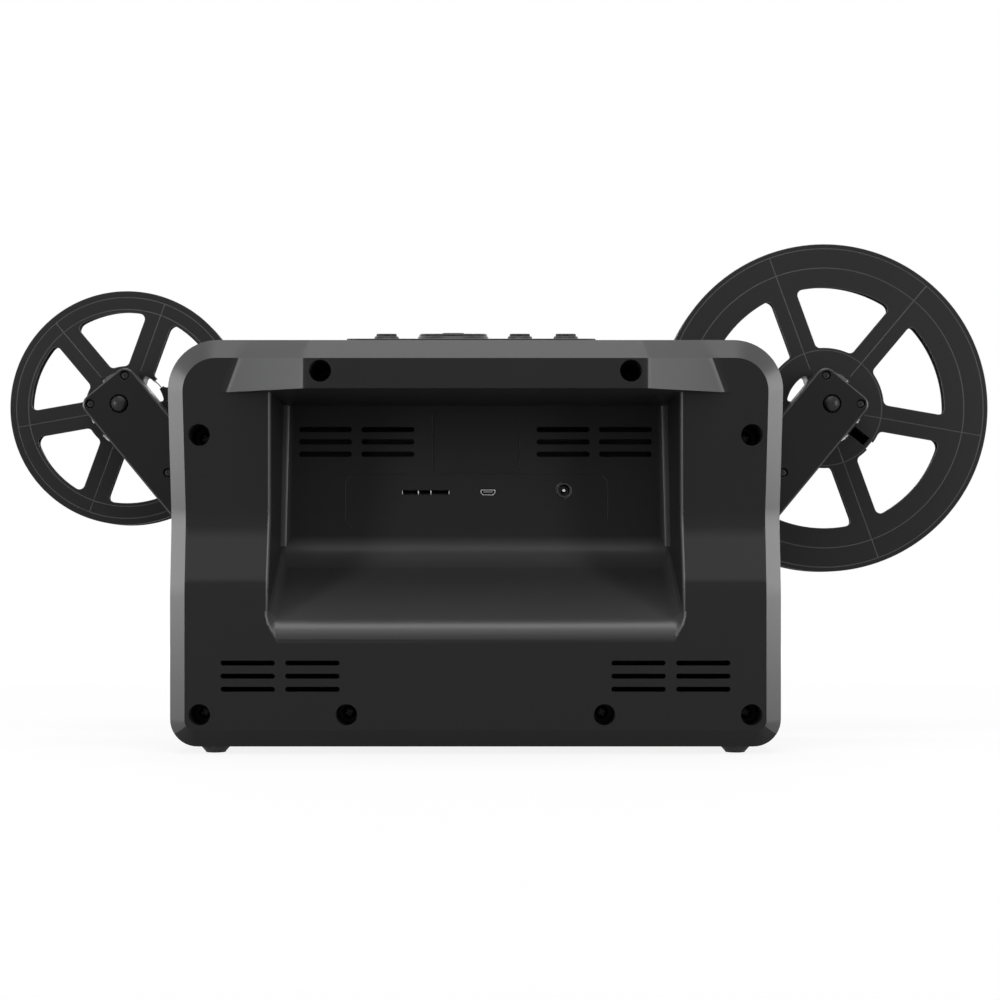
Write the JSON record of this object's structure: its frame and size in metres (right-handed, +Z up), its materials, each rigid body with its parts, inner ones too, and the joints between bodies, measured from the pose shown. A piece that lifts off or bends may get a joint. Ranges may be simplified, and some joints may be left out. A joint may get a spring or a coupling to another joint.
{
  "type": "film scanner",
  "caption": "Reel-to-reel film scanner: case with carrying recess, screen, film gate and fold-out arms holding a large supply reel and a small take-up reel.",
  "frame": {"origin": "on the table, under the middle of the case", "axes": "+X along the case towards the take-up reel, +Y to the rear face with the sockets, +Z up"},
  "size_m": [0.5311, 0.138, 0.2685],
  "materials": {
    "case_black": "fine satin moulding, near black",
    "shell_black": "satin, near black",
    "arm_black": "satin, near black",
    "reel_black": "satin, near black",
    "key_black": "satin, near black",
    "panel_black": "half gloss, near black",
    "screw_steel": "blackened steel",
    "shaft_steel": "turned steel",
    "spindle_black": "satin, near black",
    "foot_rubber": "matt rubber",
    "screen_glass": "dark glass",
    "display": "dark panel in a metal frame",
    "board_green": "green circuit board",
    "socket_metal": "bright plated sheet",
    "socket_black": "moulded black",
    "light_white": "frosted white",
    "lens": "black anodised",
    "gate_metal": "satin, dark",
    "roller_white": "light grey acetal",
    "motor_metal": "plated can",
    "belt_rubber": "matt rubber",
    "felt": "grey felt"
  },
  "bodies": {
    "case": {"rear_cover": "case_black", "front_shell": "shell_black", "case_screws": "screw_steel", "feet": "foot_rubber", "screen_glass": "screen_glass", "lcd_module": "display", "main_board": "board_green", "sd_socket": "socket_metal", "usb_socket": "socket_metal", "dc_jack": "socket_black", "keypad_panel": "panel_black", "key_board": "board_green", "film_deck": "shell_black", "light_panel": "light_white", "gate_hinge_pin": "shaft_steel", "roller_pins": "shaft_steel", "camera_head": "shell_black", "lens_barrel": "lens", "sensor_board": "board_green", "claw_motor": "motor_metal", "take_up_motor": "motor_metal", "supply_arm_pivot": "shaft_steel", "take_up_arm_pivot": "shaft_steel"},
    "gate": {"gate_door": "shell_black", "pressure_plate": "gate_metal"},
    "claw": {"film_claw": "shaft_steel"},
    "crank": {"claw_crank": "roller_white"},
    "motor_pulley": {"take_up_motor_pulley": "roller_white"},
    "supply_arm": {"supply_arm": "arm_black", "supply_arm_cover": "arm_black", "supply_arm_screws": "screw_steel", "supply_felt_washer": "felt"},
    "take_up_arm": {"take_up_arm": "arm_black", "take_up_arm_cover": "arm_black", "take_up_arm_screws": "screw_steel", "take_up_belt": "belt_rubber"},
    "supply_spindle": {"supply_spindle": "spindle_black", "supply_brake_disc": "roller_white"},
    "take_up_spindle": {"take_up_spindle": "spindle_black", "take_up_spindle_pulley": "roller_white"},
    "supply_reel": {"supply_reel_rear_flange": "reel_black", "supply_reel_hub": "reel_black", "supply_reel_front_flange": "reel_black"},
    "take_up_reel": {"take_up_reel_rear_flange": "reel_black", "take_up_reel_hub": "reel_black", "take_up_reel_front_flange": "reel_black"},
    "power_key": {"power_key": "key_black"},
    "back_key": {"back_key": "key_black"},
    "menu_key": {"menu_key": "key_black"},
    "ok_key": {"ok_key": "key_black"},
    "right_key": {"right_key": "key_black"},
    "up_key": {"up_key": "key_black"},
    "left_key": {"left_key": "key_black"},
    "down_key": {"down_key": "key_black"},
    "supply_inner_roller": {"supply_inner_roller": "roller_white"},
    "supply_outer_roller": {"supply_outer_roller": "roller_white"},
    "take_up_inner_roller": {"take_up_inner_roller": "roller_white"},
    "take_up_outer_roller": {"take_up_outer_roller": "roller_white"}
  },
  "joints": [
    {"name": "supply_arm_fold", "type": "hinge", "parent": "case", "child": "supply_arm", "pos_m": [-0.13205, -0.037, 0.11005], "axis": [0, -1, 0], "range_deg": [0, 61]},
    {"name": "supply_spindle_turn", "type": "hinge", "parent": "supply_arm", "child": "supply_spindle", "pos_m": [-0.1893, -0.05, 0.1795], "axis": [0, 1, 0], "continuous": true},
    {"name": "supply_reel_pull", "type": "slide", "parent": "supply_spindle", "child": "supply_reel", "axis": [0, -1, 0], "range_m": [0, 0.022]},
    {"name": "take_up_arm_fold", "type": "hinge", "parent": "case", "child": "take_up_arm", "pos_m": [0.13205, -0.037, 0.11005], "axis": [0, 1, 0], "range_deg": [0, 79]},
    {"name": "take_up_spindle_turn", "type": "hinge", "parent": "take_up_arm", "child": "take_up_spindle", "pos_m": [0.1893, -0.05, 0.1795], "axis": [0, 1, 0], "continuous": true},
    {"name": "take_up_reel_pull", "type": "slide", "parent": "take_up_spindle", "child": "take_up_reel", "axis": [0, -1, 0], "range_m": [0, 0.022]},
    {"name": "motor_pulley_turn", "type": "hinge", "parent": "take_up_arm", "child": "motor_pulley", "pos_m": [0.13205, -0.037, 0.11005], "axis": [0, 1, 0], "continuous": true},
    {"name": "gate_door_open", "type": "hinge", "parent": "case", "child": "gate", "pos_m": [0, -0.0492, 0.0455], "axis": [-1, 0, 0], "range_deg": [0, 80]},
    {"name": "supply_inner_roller_turn", "type": "hinge", "parent": "case", "child": "supply_inner_roller", "pos_m": [-0.052, -0.056, 0.0465], "axis": [0, 1, 0], "continuous": true},
    {"name": "supply_outer_roller_turn", "type": "hinge", "parent": "case", "child": "supply_outer_roller", "pos_m": [-0.088, -0.056, 0.058], "axis": [0, 1, 0], "continuous": true},
    {"name": "take_up_inner_roller_turn", "type": "hinge", "parent": "case", "child": "take_up_inner_roller", "pos_m": [0.052, -0.056, 0.0465], "axis": [0, 1, 0], "continuous": true},
    {"name": "take_up_outer_roller_turn", "type": "hinge", "parent": "case", "child": "take_up_outer_roller", "pos_m": [0.088, -0.056, 0.058], "axis": [0, 1, 0], "continuous": true},
    {"name": "power_key_press", "type": "slide", "parent": "case", "child": "power_key", "axis": [0, -0.144, -0.9896], "range_m": [0, 0.0007], "stiffness_N_per_m": 600},
    {"name": "back_key_press", "type": "slide", "parent": "case", "child": "back_key", "axis": [0, -0.144, -0.9896], "range_m": [0, 0.0007], "stiffness_N_per_m": 600},
    {"name": "menu_key_press", "type": "slide", "parent": "case", "child": "menu_key", "axis": [0, -0.144, -0.9896], "range_m": [0, 0.0007], "stiffness_N_per_m": 600},
    {"name": "ok_key_press", "type": "slide", "parent": "case", "child": "ok_key", "axis": [0, -0.144, -0.9896], "range_m": [0, 0.0007], "stiffness_N_per_m": 600},
    {"name": "right_key_press", "type": "slide", "parent": "case", "child": "right_key", "axis": [0, -0.144, -0.9896], "range_m": [0, 0.0007], "stiffness_N_per_m": 600},
    {"name": "up_key_press", "type": "slide", "parent": "case", "child": "up_key", "axis": [0, -0.144, -0.9896], "range_m": [0, 0.0007], "stiffness_N_per_m": 600},
    {"name": "left_key_press", "type": "slide", "parent": "case", "child": "left_key", "axis": [0, -0.144, -0.9896], "range_m": [0, 0.0007], "stiffness_N_per_m": 600},
    {"name": "down_key_press", "type": "slide", "parent": "case", "child": "down_key", "axis": [0, -0.144, -0.9896], "range_m": [0, 0.0007], "stiffness_N_per_m": 600},
    {"name": "claw_slide", "type": "slide", "parent": "case", "child": "claw", "axis": [1, 0, 0], "range_m": [-0.00212, 0.00212]},
    {"name": "crank_turn", "type": "hinge", "parent": "case", "child": "crank", "pos_m": [0.0203, -0.0505, 0.0275], "axis": [0, 1, 0], "continuous": true}
  ],
  "couplings": [
    {"joint": "motor_pulley_turn", "follows": "take_up_spindle_turn", "ratio": 2}
  ]
}
